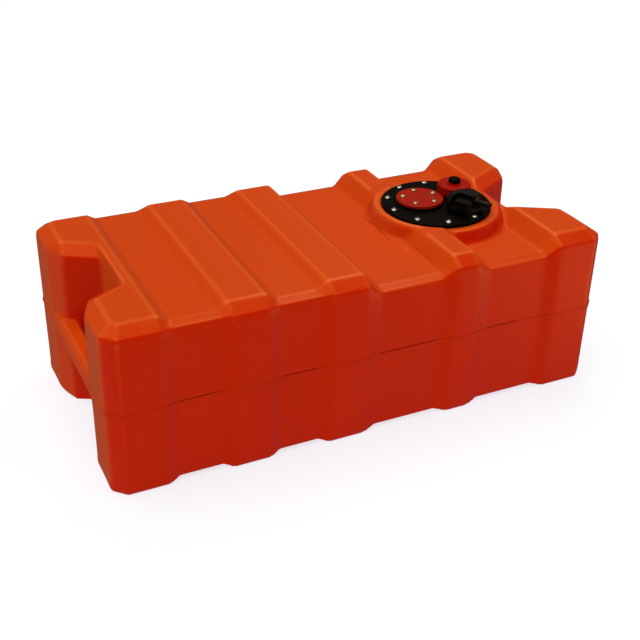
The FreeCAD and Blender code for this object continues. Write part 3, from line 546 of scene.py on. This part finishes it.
@dataclass
class TankBody:
    """The moulded tank: soft edges all over, and the crisp ridge where the mould's halves met.

    Attributes:
        voxel: grid size of the softening.
        step: how far each round of smoothing moves a vertex towards its neighbours.
        softening: rounds of smoothing all over.
        wall_softening: more rounds for the walls, at each of the next limits.
        wall_facings: how far up or down a face may look to count as a wall, limit by limit.
        foot: height of the tank's foot, which stays crisper than its walls.
        foot_spread: how far the foot's outline stands out beyond the model's bevel.
        corner_reach: how far from the sides and ends that outline runs.
        notch_half: half the width of the notches, where it stays as it is.
        seat_radius: radius of the collar round the flange.
        seat_blend: width of the ring round the collar that melts into the deck and the band.
        seat_depth: how far down from the plate's top that ring reaches.
        seat_softening: rounds of smoothing in that ring.
        flatness: turn between two faces under which they become one, in radians.
        highlight_span: curvature where a painted highlight starts on an edge, and where it is strongest.
        highlight_softening: rounds that spread the painted highlight over the vertices beside it.
        highlight_top: how far up a top edge looks where its painted highlight starts, and where it is full.
        highlight_upright: how far up an upright edge looks where its painted highlight ends, and where it is
            full.
        line_radius: half the width of the lines engraved there.
        line_step: distance between the points where a line is laid on the deck.
        insert_lines: routes of those lines, as x and y in millimetres.
        ridge_height: height of the ridge.
        ridge_gap: how far beyond the ridge the wall is made plain.
        ridge_edge: rounding of the ridge's edges.
        ridge_inset: how far the ridge stands back from the model's box.
        ridge_corner: rounding of the ridge's corners as seen from above.
        ridge_turn: least turn of its outline that counts as a corner, in radians.
        ridge_rim_turn: least turn from its side to its top that counts as a rim, in radians.
        ridge_segments: steps across these roundings.
    """

    voxel: float = 2.5 * MILLIMETRE
    step: float = 0.5
    softening: int = 6
    wall_softening: int = 4
    wall_facings: Tuple[float, ...] = (0.85, 0.7, 0.55, 0.4, 0.25)
    foot: float = 14.0 * MILLIMETRE
    foot_spread: float = 5.0 * MILLIMETRE
    corner_reach: float = 32.0 * MILLIMETRE
    notch_half: float = 110.0 * MILLIMETRE
    seat_radius: float = 101.5 * MILLIMETRE
    seat_blend: float = 16.0 * MILLIMETRE
    seat_depth: float = 40.0 * MILLIMETRE
    seat_softening: int = 18
    flatness: float = math.radians(0.35)
    # Where and how strongly highlights are painted on the edges.
    highlight_span: Tuple[float, float] = (0.02, 0.08)
    highlight_softening: int = 2
    highlight_top: Tuple[float, float] = (0.68, 0.8)
    highlight_upright: Tuple[float, float] = (0.22, 0.1)
    line_radius: float = 1.0 * MILLIMETRE
    line_step: float = 4.0 * MILLIMETRE
    insert_lines: Tuple[Tuple[Tuple[float, float], ...], ...] = (
        (
            (9.0, 86.0), (93.0, 86.0), (96.0, 83.0), (96.0, -86.0),
            (113.0, -89.0), (116.0, -92.0), (116.0, -140.0),
        ),
        ((96.0, -138.0), (96.0, -163.0)),
    )
    ridge_height: float = 3.0 * MILLIMETRE
    ridge_gap: float = 2.0 * MILLIMETRE
    ridge_edge: float = 1.3 * MILLIMETRE
    ridge_inset: float = 1.2 * MILLIMETRE
    ridge_corner: float = 5.0 * MILLIMETRE
    ridge_turn: float = math.radians(15.0)
    ridge_rim_turn: float = math.radians(60.0)
    ridge_segments: int = 3

    def build(self) -> None:
        """Make the tank and its ridge."""
        low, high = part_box("tank_body")
        parting = (low.z + high.z) / 2
        add_piece("tank_moulding", self.moulding(parting), TANK_ORANGE, Body.TANK, ["tank_body"])
        add_piece("parting_ridge", self.ridge(parting), TANK_ORANGE, Body.TANK)

    def moulding(self, parting: float) -> Mesh:
        """Soft-edged tank without its ridge.

        Args:
            parting: height of the parting plane.

        Returns:
            The mesh.
        """
        solid = merged_copy("tank_body")
        self.clear_ridge(solid, parting)
        self.spread_foot(solid)
        rough = bpy.data.objects.new("rough_moulding", mesh_from(solid, "rough_moulding"))
        bpy.context.scene.collection.objects.link(rough)
        remesh = rough.modifiers.new("even faces", "REMESH")
        remesh.mode = "VOXEL"
        remesh.voxel_size = self.voxel
        smooth = rough.modifiers.new("soft edges", "SMOOTH")
        smooth.factor = self.step
        smooth.iterations = self.softening
        self.settle(rough)
        self.round_walls(rough.data)
        flat = rough.modifiers.new("flat faces", "DECIMATE")
        flat.decimate_type = "DISSOLVE"
        flat.angle_limit = self.flatness
        self.settle(rough)
        self.engrave(rough)
        mesh = rough.data
        bpy.data.objects.remove(rough)
        engraved = bmesh.new()
        engraved.from_mesh(mesh)
        take_out_slivers(engraved)
        engraved.to_mesh(mesh)
        engraved.free()
        mesh.shade_smooth()
        return mesh

    @staticmethod
    def settle(rough: Object) -> None:
        """Apply an object's modifiers to its mesh.

        Args:
            rough: the object.
        """
        graph = bpy.context.evaluated_depsgraph_get()
        mesh = bpy.data.meshes.new_from_object(rough.evaluated_get(graph))
        rough.modifiers.clear()
        rough.data = mesh

    def engrave(self, rough: Object) -> None:
        """Cut the fine lines that the mould's insert left on the deck beside the flange.

        Args:
            rough: the moulding, whose mesh is changed.
        """
        graph = bpy.context.evaluated_depsgraph_get()
        deck = BVHTree.FromObject(rough, graph)
        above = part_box("tank_body")[1].z
        lines = bpy.data.curves.new("insert_lines", "CURVE")
        lines.dimensions = "3D"
        lines.bevel_depth = self.line_radius
        lines.bevel_resolution = 0
        lines.use_fill_caps = True
        for path in self.insert_lines:
            places = self.laid_line(path)
            spline = lines.splines.new("POLY")
            spline.points.add(len(places) - 1)
            for point, place in zip(spline.points, places):
                found = deck.ray_cast(Vector((place.x, place.y, above)), Vector((0.0, 0.0, -1.0)))[0]
                point.co = (found.x, found.y, found.z, 1.0)
        cutter = bpy.data.objects.new("insert_lines", lines)
        bpy.context.scene.collection.objects.link(cutter)
        graph.update()
        tube_mesh = bpy.data.meshes.new_from_object(cutter.evaluated_get(graph))
        tubes = bpy.data.objects.new("insert_tubes", tube_mesh)
        bpy.context.scene.collection.objects.link(tubes)
        cut = rough.modifiers.new("insert lines", "BOOLEAN")
        cut.operation = "DIFFERENCE"
        cut.solver = "EXACT"
        cut.object = tubes
        self.settle(rough)
        bpy.data.objects.remove(cutter)
        bpy.data.objects.remove(tubes)

    def laid_line(self, path: Sequence[Tuple[float, float]]) -> List[Vector]:
        """Even points along a line of the deck.

        Args:
            path: the line's corners, as x and y in millimetres.

        Returns:
            The points, at height 0.
        """
        corners = [Vector((x, y, 0.0)) * MILLIMETRE for x, y in path]
        places = [corners[0]]
        for first, last in zip(corners, corners[1:]):
            count = max(1, round((last - first).length / self.line_step))
            places += [first.lerp(last, step / count) for step in range(1, count + 1)]
        return places

    def spread_foot(self, solid: bmesh.types.BMesh) -> None:
        """Move the outer edge of the underside out, which leaves a slimmer bevel under the walls.

        Args:
            solid: the tank's mesh.
        """
        low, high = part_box("tank_body")
        for vert in solid.verts:
            x, y, z = vert.co
            if z > low.z + MERGE_DISTANCE:
                continue
            if abs(y) > high.y - self.corner_reach:
                vert.co.y += math.copysign(self.foot_spread, y)
            if abs(x) > high.x - self.corner_reach and abs(y) > self.notch_half:
                vert.co.x += math.copysign(self.foot_spread, x)

    def round_walls(self, mesh: Mesh) -> None:
        """Round the upright edges more than the others, melt the collar into the deck and mark where
        highlights are painted on the edges.

        Args:
            mesh: the evenly faced moulding, which is changed.
        """
        solid = bmesh.new()
        solid.from_mesh(mesh)
        for facing in self.wall_facings:
            solid.normal_update()
            walls = [vert for vert in solid.verts if abs(vert.normal.z) < facing and vert.co.z > self.foot]
            self.smooth(solid, walls, self.wall_softening)
        self.smooth(solid, self.seat_ring(solid), self.seat_softening)
        self.mark_edge_highlights(solid)
        solid.to_mesh(mesh)
        solid.free()

    def smooth(self, solid: bmesh.types.BMesh, verts: List[bmesh.types.BMVert], rounds: int) -> None:
        """Smooth some vertices, again and again.

        Args:
            solid: the mesh.
            verts: its vertices that move.
            rounds: how many times.
        """
        for _ in range(rounds):
            bmesh.ops.smooth_vert(
                solid, verts=verts, factor=self.step, use_axis_x=True, use_axis_y=True, use_axis_z=True,
            )

    def seat_ring(self, solid: bmesh.types.BMesh) -> List[bmesh.types.BMVert]:
        """Find the ring round the collar that melts into the deck.

        Args:
            solid: the tank's mesh.

        Returns:
            The ring's vertices.
        """
        low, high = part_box("flange_plate")
        middle = (low + high) / 2
        inner = self.seat_radius - self.voxel
        found = []
        for vert in solid.verts:
            reach = (vert.co.xy - middle.xy).length
            if inner < reach < inner + self.seat_blend and vert.co.z > high.z - self.seat_depth:
                found.append(vert)
        return found

    def mark_edge_highlights(self, solid: bmesh.types.BMesh) -> None:
        """Write how strongly a highlight is painted on each outward edge, from 0 to 1, in the mesh's
        highlight layer.

        Args:
            solid: the evenly faced moulding.
        """
        layer = solid.verts.layers.float.new(EDGE_HIGHLIGHT_LAYER)
        solid.normal_update()
        for vert in solid.verts:
            near = [edge.other_vert(vert).co for edge in vert.link_edges]
            middle = sum(near, Vector()) / len(near)
            curve = (vert.co - middle).dot(vert.normal) / self.voxel
            top = self.share(vert.normal.z, self.highlight_top)
            upright = self.share(abs(vert.normal.z), self.highlight_upright)
            above = self.share(vert.co.z, (self.foot, 2 * self.foot))
            vert[layer] = self.share(curve, self.highlight_span) * max(top, upright) * above
        for _ in range(self.highlight_softening):
            before = {vert: vert[layer] for vert in solid.verts}
            for vert in solid.verts:
                near = [before[edge.other_vert(vert)] for edge in vert.link_edges]
                vert[layer] = (before[vert] + sum(near) / len(near)) / 2

    @staticmethod
    def share(value: float, span: Tuple[float, float]) -> float:
        """How far a value lies between a span's start and its end, from 0 to 1."""
        return min(1.0, max(0.0, (value - span[0]) / (span[1] - span[0])))

    def clear_ridge(self, solid: bmesh.types.BMesh, parting: float) -> None:
        """Take the ridge off and close the wall again.

        Args:
            solid: the tank's mesh.
            parting: height of the parting plane.
        """
        reach = self.ridge_height / 2 + self.ridge_gap
        for height in (parting - reach, parting + reach):
            geometry = solid.verts[:] + solid.edges[:] + solid.faces[:]
            bmesh.ops.bisect_plane(solid, geom=geometry, dist=MERGE_DISTANCE,
                                   plane_co=(0.0, 0.0, height), plane_no=(0.0, 0.0, 1.0))
        middle = [face for face in solid.faces if abs(face.calc_center_median().z - parting) < reach]
        bmesh.ops.delete(solid, geom=middle, context="FACES")
        rims = [edge for edge in solid.edges if edge.is_boundary]
        for pair in self.paired_loops(rims, parting):
            bmesh.ops.bridge_loops(solid, edges=pair)
        bmesh.ops.recalc_face_normals(solid, faces=solid.faces[:])

    def paired_loops(self, rims: List[bmesh.types.BMEdge], parting: float) -> List[List[bmesh.types.BMEdge]]:
        """Pair each loop under the cut with the loop above it.

        Args:
            rims: open edges on both sides of the cut.
            parting: height of the parting plane.

        Returns:
            One list of edges for each pair of loops.
        """
        loops = connected_groups(rims, self.joined_edges)
        lower = [loop for loop in loops if loop[0].verts[0].co.z < parting]
        upper = [loop for loop in loops if loop[0].verts[0].co.z > parting]
        return [loop + min(upper, key=lambda other: (self.mark_of(other) - self.mark_of(loop)).length)
                for loop in lower]

    @staticmethod
    def joined_edges(edge: bmesh.types.BMEdge) -> List[bmesh.types.BMEdge]:
        """Edges that share a vertex with an edge."""
        return [other for vert in edge.verts for other in vert.link_edges]

    @staticmethod
    def mark_of(loop: List[bmesh.types.BMEdge]) -> Vector:
        """Point that tells loops apart: a loop's middle, raised by its length.

        Args:
            loop: the loop's edges.

        Returns:
            The point.
        """
        total = sum(edge.calc_length() for edge in loop)
        places = [(edge.verts[0].co + edge.verts[1].co) / 2 * edge.calc_length() for edge in loop]
        return sum(places, Vector()) / total + Vector((0.0, 0.0, total))

    def ridge(self, parting: float) -> Mesh:
        """Crisp ridge all round the parting plane.

        Args:
            parting: height of the parting plane.

        Returns:
            The mesh.
        """
        solid = merged_copy("tank_body")
        geometry = solid.verts[:] + solid.edges[:] + solid.faces[:]
        cut = bmesh.ops.bisect_plane(
            solid, geom=geometry, dist=MERGE_DISTANCE, plane_co=(0.0, 0.0, parting),
            plane_no=(0.0, 0.0, 1.0), clear_inner=True, clear_outer=True,
        )
        outline = [item for item in cut["geom_cut"] if isinstance(item, bmesh.types.BMEdge)]
        bmesh.ops.triangle_fill(solid, edges=outline, use_beauty=True, use_dissolve=False)
        risen = bmesh.ops.extrude_face_region(solid, geom=solid.faces[:])
        top = [item for item in risen["geom"] if isinstance(item, bmesh.types.BMVert)]
        bmesh.ops.translate(solid, verts=top, vec=(0.0, 0.0, self.ridge_height))
        bmesh.ops.translate(solid, verts=solid.verts[:], vec=(0.0, 0.0, -self.ridge_height / 2))
        bmesh.ops.recalc_face_normals(solid, faces=solid.faces[:])
        low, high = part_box("tank_body")
        bmesh.ops.scale(solid, verts=solid.verts[:],
                        vec=(1.0 - self.ridge_inset / high.x, 1.0 - self.ridge_inset / high.y, 1.0))
        bmesh.ops.dissolve_limit(solid, angle_limit=FLAT_ANGLE, verts=solid.verts[:], edges=solid.edges[:])
        corners = [edge for edge in crease_edges(solid, self.ridge_turn) if is_upright(edge)]
        soften(solid, corners, self.ridge_corner, self.ridge_segments)
        rims = [edge for edge in crease_edges(solid, self.ridge_rim_turn) if not is_upright(edge)]
        soften(solid, rims, self.ridge_edge, self.ridge_segments)
        take_out_slivers(solid)
        return mesh_from(solid, "parting_ridge")


@dataclass
class Flange:
    """The bolted flange: plate, gaskets, inserts, blank gauge cover and screws.

    Attributes:
        plate_edge: rounding of the plate's edges.
        cover_edge: rounding of the red cover's edges.
        screw_edge: rounding of the screw heads.
        screw_segments: steps across that rounding.
        screw_crease: least turn between two faces of a head that is rounded, in radians.
        rim_share: share of a head's radius outside which its edges are rounded.
        cross_share: share of a head's radius that the middles of the cross's faces stay within.
        cross_corner_share: share that their corners stay within.
        slot_share: share that half a slot's width stays within.
        cross_widening: how much wider the slots are than in the model.
        cross_index: place of the cross's painted-shade material among the screws' materials.
    """

    plate_edge: float = 0.6 * MILLIMETRE
    cover_edge: float = 0.8 * MILLIMETRE
    screw_edge: float = 0.35 * MILLIMETRE
    screw_segments: int = 2
    screw_crease: float = math.radians(17.5)
    rim_share: float = 0.65
    cross_share: float = 0.62
    cross_corner_share: float = 0.68
    slot_share: float = 0.3
    cross_widening: float = 1.6
    cross_index: int = 1

    def build(self) -> None:
        """Make the flange's pieces."""
        softened_node("flange_plate", PLATE_BLACK, Body.TANK, self.plate_edge)
        softened_node("gauge_cover", COVER_RED, Body.TANK, self.cover_edge)
        self.screws("rim_screws", SCREW_STEEL)
        self.screws("cover_screws", SCREW_ZINC)
        dress_node("flange_gasket", SEAL_RUBBER)
        dress_node("gauge_gasket", SEAL_RUBBER)
        dress_node("flange_inserts", INSERT_BRASS)

    def screws(self, node: str, finish: Finish) -> None:
        """Replace a group of screws: rounded heads whose crosses are painted dark as shade.

        Args:
            node: name of the node.
            finish: surface of the heads.
        """
        solid = merged_copy(node)
        top = max(vert.co.z for vert in solid.verts)
        outer = []
        for screw in connected_groups(solid.verts, self.neighbours):
            middle = sum((vert.co for vert in screw), Vector()) / len(screw)
            reach = max((vert.co.xy - middle.xy).length for vert in screw)
            outer += self.outer_edges(screw, middle, reach * self.rim_share)
            self.widen_cross(screw, middle, reach, top)
        soften(solid, outer, self.screw_edge, self.screw_segments)
        piece = add_piece("soft_" + node, mesh_from(solid, node), finish, Body.TANK, [node])
        # The crosses get the painted shade.
        piece.data.materials.append(RECESS_SHADE.material())

    @staticmethod
    def neighbours(vert: bmesh.types.BMVert) -> List[bmesh.types.BMVert]:
        """Vertices that share an edge with a vertex."""
        return [edge.other_vert(vert) for edge in vert.link_edges]

    def outer_edges(
            self, screw: List[bmesh.types.BMVert], middle: Vector, inner: float,
    ) -> List[bmesh.types.BMEdge]:
        """Creases of a screw outside its cross.

        Args:
            screw: the screw's vertices.
            middle: its middle.
            inner: radius that the creases stay outside of.

        Returns:
            The edges.
        """
        edges = {edge for vert in screw for edge in vert.link_edges
                 if min((end.co.xy - middle.xy).length for end in edge.verts) > inner}
        return [edge for edge in edges if edge.is_manifold and edge.calc_face_angle(0.0) > self.screw_crease]

    def widen_cross(self, screw: List[bmesh.types.BMVert], middle: Vector, reach: float, top: float) -> None:
        """Paint shade into the cross in a screw's head and widen its slots.

        Args:
            screw: the screw's vertices.
            middle: its middle.
            reach: radius of its head.
            top: level of the head's top.
        """
        faces = {face for vert in screw for face in vert.link_faces}
        cross = {face for face in faces if self.in_cross(face, middle, reach, top)}
        for face in cross:
            face.material_index = self.cross_index
        for vert in {corner for face in cross for corner in face.verts}:
            for axis in (0, 1):
                offset = vert.co[axis] - middle[axis]
                if abs(offset) < reach * self.slot_share:
                    vert.co[axis] = middle[axis] + offset * self.cross_widening

    def in_cross(self, face: bmesh.types.BMFace, middle: Vector, reach: float, top: float) -> bool:
        """Tell whether a face lies inside the cross of a screw's head.

        Args:
            face: the face.
            middle: middle of the screw.
            reach: radius of its head.
            top: level of the head's top.

        Returns:
            True for the floor and the walls of the cross.
        """
        centre = face.calc_center_median()
        corners = [(vert.co.xy - middle.xy).length for vert in face.verts]
        sunk = top - reach < centre.z < top - MERGE_DISTANCE
        inside = (centre.xy - middle.xy).length < reach * self.cross_share
        return sunk and inside and max(corners) < reach * self.cross_corner_share


@dataclass
class FillerCap:
    """The filler cap with its seal and its vent screw.

    Attributes:
        cap_edge: rounding of the cap's edges.
        knob_edge: rounding of the knob's edges.
    """

    cap_edge: float = 0.5 * MILLIMETRE
    knob_edge: float = 0.5 * MILLIMETRE

    def build(self) -> None:
        """Make the cap's pieces."""
        softened_node("filler_cap", CAP_RED, Body.CAP, self.cap_edge)
        softened_node("vent_knob", KNOB_BLACK, Body.VENT, self.knob_edge)
        dress_node("cap_seal", SEAL_RUBBER)
        dress_node("vent_seal", SEAL_RUBBER)


@dataclass
class PickUp:
    """The fuel pick-up: spigot, swivel head with its latch and hose tail, dip tube and strainer.

    Attributes:
        head_edge: rounding of the head's edges.
        latch_edge: rounding of the latch's edges.
        turned_edge: rounding of the edges of the hose tail and the spigot.
        turned_segments: steps across that rounding.
    """

    head_edge: float = 0.8 * MILLIMETRE
    latch_edge: float = 0.4 * MILLIMETRE
    turned_edge: float = 0.3 * MILLIMETRE
    turned_segments: int = 2

    def build(self) -> None:
        """Make the pick-up's pieces."""
        softened_node("swivel_head", HEAD_BLACK, Body.PICKUP, self.head_edge)
        softened_node("coupling_latch", LATCH_BLACK, Body.LATCH, self.latch_edge)
        softened_node("hose_tail", TAIL_BLACK, Body.PICKUP, self.turned_edge, self.turned_segments)
        softened_node("pickup_spigot", SPIGOT_METAL, Body.TANK, self.turned_edge, self.turned_segments)
        dress_node("tail_seal", SEAL_RUBBER)
        dress_node("neck_ring", SEAL_RUBBER)
        dress_node("spigot_seal", SEAL_RUBBER)
        dress_node("spigot_nut", SPIGOT_METAL)
        dress_node("dip_tube", TUBE_NATURAL)
        dress_node("foot_strainer", TUBE_NATURAL)


@dataclass(frozen=True)
class PhotoCamera:
    """Camera at the photograph's viewing angle.

    Attributes:
        azimuth: turn about Z from looking along +Y, in degrees.
        elevation: height above the horizon, in degrees.
        roll: turn about the line of sight, in degrees.
        distance: from the aim to the camera.
        aim: point that the distance is measured to.
        slide: how far the camera stands to the right of that line, and above it.
        lens: focal length in millimetres, on a sensor 36 mm wide.
        near: distance from which the camera sees.
    """

    azimuth: float = -26.12
    elevation: float = 30.05
    roll: float = 1.38
    distance: float = 1.753
    aim: Tuple[float, float, float] = (0.0, 0.0, 0.1194)
    slide: Tuple[float, float] = (0.0028, -0.0233)
    lens: float = 61.87
    near: float = 0.01

    def build(self) -> None:
        """Make the camera and use it."""
        turn = math.radians(self.azimuth)
        rise = math.radians(self.elevation)
        tilt = math.radians(self.roll)
        back = Vector((math.sin(turn) * math.cos(rise), -math.cos(turn) * math.cos(rise), math.sin(rise)))
        level = Vector((math.cos(turn), math.sin(turn), 0.0))
        upright = back.cross(level)
        right = level * math.cos(tilt) + upright * math.sin(tilt)
        above = upright * math.cos(tilt) - level * math.sin(tilt)
        place = Vector(self.aim) + back * self.distance + right * self.slide[0] + above * self.slide[1]
        axes = Matrix((right, above, back)).transposed()
        lens = bpy.data.cameras.new("photo_camera")
        lens.lens = self.lens
        lens.clip_start = self.near
        camera = bpy.data.objects.new("photo_camera", lens)
        camera.matrix_world = Matrix.Translation(place) @ axes.to_4x4()
        bpy.context.scene.collection.objects.link(camera)
        bpy.context.scene.camera = camera


@dataclass(frozen=True)
class SoftBox:
    """An area light that faces a point.

    Attributes:
        name: name of the light.
        place: where it hangs.
        target: what it faces.
        width: its longer side.
        height: its shorter side.
        power: in watts.
        colour: colour of its light.
        gloss_only: whether it shows only in the gloss, as a reflecting card does.
    """

    name: str
    place: Tuple[float, float, float]
    target: Tuple[float, float, float]
    width: float
    height: float
    power: float
    colour: Tuple[float, float, float] = LAMP_WARMTH
    gloss_only: bool = False

    def build(self) -> None:
        """Hang the light."""
        light = bpy.data.lights.new(self.name, "AREA")
        light.shape = "RECTANGLE"
        light.size = self.width
        light.size_y = self.height
        light.energy = self.power
        light.color = self.colour
        lamp = bpy.data.objects.new(self.name, light)
        lamp.location = Vector(self.place)
        facing = Vector(self.target) - lamp.location
        lamp.rotation_euler = facing.to_track_quat("-Z", "Y").to_euler()
        lamp.visible_camera = False
        lamp.visible_diffuse = not self.gloss_only
        bpy.context.scene.collection.objects.link(lamp)


@dataclass(frozen=True)
class Studio:
    """Pale floor and soft light.

    Attributes:
        floor_side: side of the floor.
        floor_colour: its colour, sRGB.
        floor_glow: its own light, which keeps its shadows faint.
        glow_colour: colour of that light, which makes up for the warm lamps.
        backdrop_radius: radius of the white dome behind the object.
        backdrop_steps: how many faces it has round its middle, and from pole to pole.
        sky: brightness of the surrounding light.
        gloss_sky: its brightness where a gloss mirrors it.
        warmth: colour of the lamps and of the surrounding light.
        sun: strength of the light from above.
        sun_spread: how wide that light is.
        sun_tilt: how far it comes from the left of straight above.
        lights: the soft boxes.
    """

    floor_side: float = 16.0
    floor_colour: Colour = (160, 160, 160)
    floor_glow: float = 0.77
    glow_colour: Shade = (0.86, 0.91, 1.0, 1.0)
    backdrop_radius: float = 12.0
    backdrop_steps: Tuple[int, int] = (48, 24)
    sky: float = 0.275
    gloss_sky: float = 0.1
    warmth: Tuple[float, float, float] = LAMP_WARMTH
    sun: float = 2.25
    sun_spread: float = math.radians(70.0)
    sun_tilt: float = math.radians(14.0)
    lights: Tuple[SoftBox, ...] = (
        SoftBox("left light", (-2.4, -0.2, 1.0), (-0.3, 0.0, 0.1), 1.6, 1.2, 1.0),
        SoftBox("edge light", (0.9, 1.0, 2.0), (0.0, 0.0, 0.2), 0.9, 0.5, 8.0),
        SoftBox("right light", (2.2, -0.9, 0.4), (0.3, 0.0, 0.15), 1.2, 0.8, 3.0),
        SoftBox("front card", (0.2, -1.1, 0.02), (0.1, -0.3, 0.25), 3.0, 1.2, 7.0, CARD_WARMTH, True),
        SoftBox("right card", (0.9, -0.7, 0.03), (0.4, -0.2, 0.2), 0.8, 0.6, 2.6, CARD_WARMTH, True),
    )

    def build(self) -> None:
        """Make the floor, the backdrop, the surrounding light and the lamps."""
        self.floor()
        self.backdrop()
        world = bpy.data.worlds.new("studio")
        world.use_nodes = True
        sky = world.node_tree.nodes["Background"]
        sky.inputs["Color"].default_value = (*self.warmth, 1.0)
        strength = world.node_tree.nodes.new("ShaderNodeMapRange")
        strength.inputs["To Min"].default_value = self.sky
        strength.inputs["To Max"].default_value = self.gloss_sky
        ray = world.node_tree.nodes.new("ShaderNodeLightPath")
        world.node_tree.links.new(ray.outputs["Is Glossy Ray"], strength.inputs["Value"])
        world.node_tree.links.new(strength.outputs["Result"], sky.inputs["Strength"])
        bpy.context.scene.world = world
        above = bpy.data.lights.new("top light", "SUN")
        above.energy = self.sun
        above.angle = self.sun_spread
        above.color = self.warmth
        lamp = bpy.data.objects.new("top light", above)
        lamp.rotation_euler = (0.0, -self.sun_tilt, 0.0)
        bpy.context.scene.collection.objects.link(lamp)
        for light in self.lights:
            light.build()

    def floor(self) -> None:
        """Make the floor, which no gloss mirrors, so that dark pieces stay dark."""
        ground = bmesh.new()
        bmesh.ops.create_grid(ground, x_segments=1, y_segments=1, size=self.floor_side / 2)
        paper = self.glowing("pale floor", linear(self.floor_colour), self.glow_colour, self.floor_glow)
        floor = self.unmirrored("floor", ground, paper)

    def backdrop(self) -> None:
        """Make the white dome that fills the picture above the floor and lights nothing."""
        shell = bmesh.new()
        across, up = self.backdrop_steps
        bmesh.ops.create_uvsphere(shell, u_segments=across, v_segments=up, radius=self.backdrop_radius)
        bmesh.ops.reverse_faces(shell, faces=shell.faces[:])
        dome = self.unmirrored("backdrop", shell, self.glowing("white backdrop", BLACK, WHITE, 1.0))
        dome.visible_diffuse = False
        dome.visible_transmission = False
        dome.visible_shadow = False

    @staticmethod
    def glowing(name: str, colour: Shade, glow: Shade, strength: float) -> Material:
        """Make a matt surface with a light of its own.

        Args:
            name: name of the material.
            colour: its colour, in linear light.
            glow: colour of its own light.
            strength: strength of that light.

        Returns:
            The material.
        """
        paper = bpy.data.materials.new(name)
        paper.use_nodes = True
        shader = paper.node_tree.nodes["Principled BSDF"]
        shader.inputs["Base Color"].default_value = colour
        shader.inputs["Roughness"].default_value = 1.0
        shader.inputs["Specular IOR Level"].default_value = 0.0
        shader.inputs["Emission Color"].default_value = glow
        shader.inputs["Emission Strength"].default_value = strength
        return paper

    @staticmethod
    def unmirrored(name: str, shape: bmesh.types.BMesh, paper: Material) -> Object:
        """Put a part of the studio in the scene, which no gloss mirrors.

        Args:
            name: its name.
            shape: its form, which is freed.
            paper: its material.

        Returns:
            The part.
        """
        mesh = bpy.data.meshes.new(name)
        shape.to_mesh(mesh)
        shape.free()
        mesh.materials.append(paper)
        part = bpy.data.objects.new(name, mesh)
        bpy.context.scene.collection.objects.link(part)
        part.visible_glossy = False
        return part


def main() -> None:
    """Build the scene: camera and studio first, then the tank and its fittings."""
    logging.basicConfig(level=logging.INFO, format="%(name)s %(message)s")
    bpy.context.scene.view_settings.view_transform = "Standard"
    PhotoCamera().build()
    Studio().build()
    TankBody().build()
    Flange().build()
    FillerCap().build()
    PickUp().build()


if __name__ == "__main__":
    main()
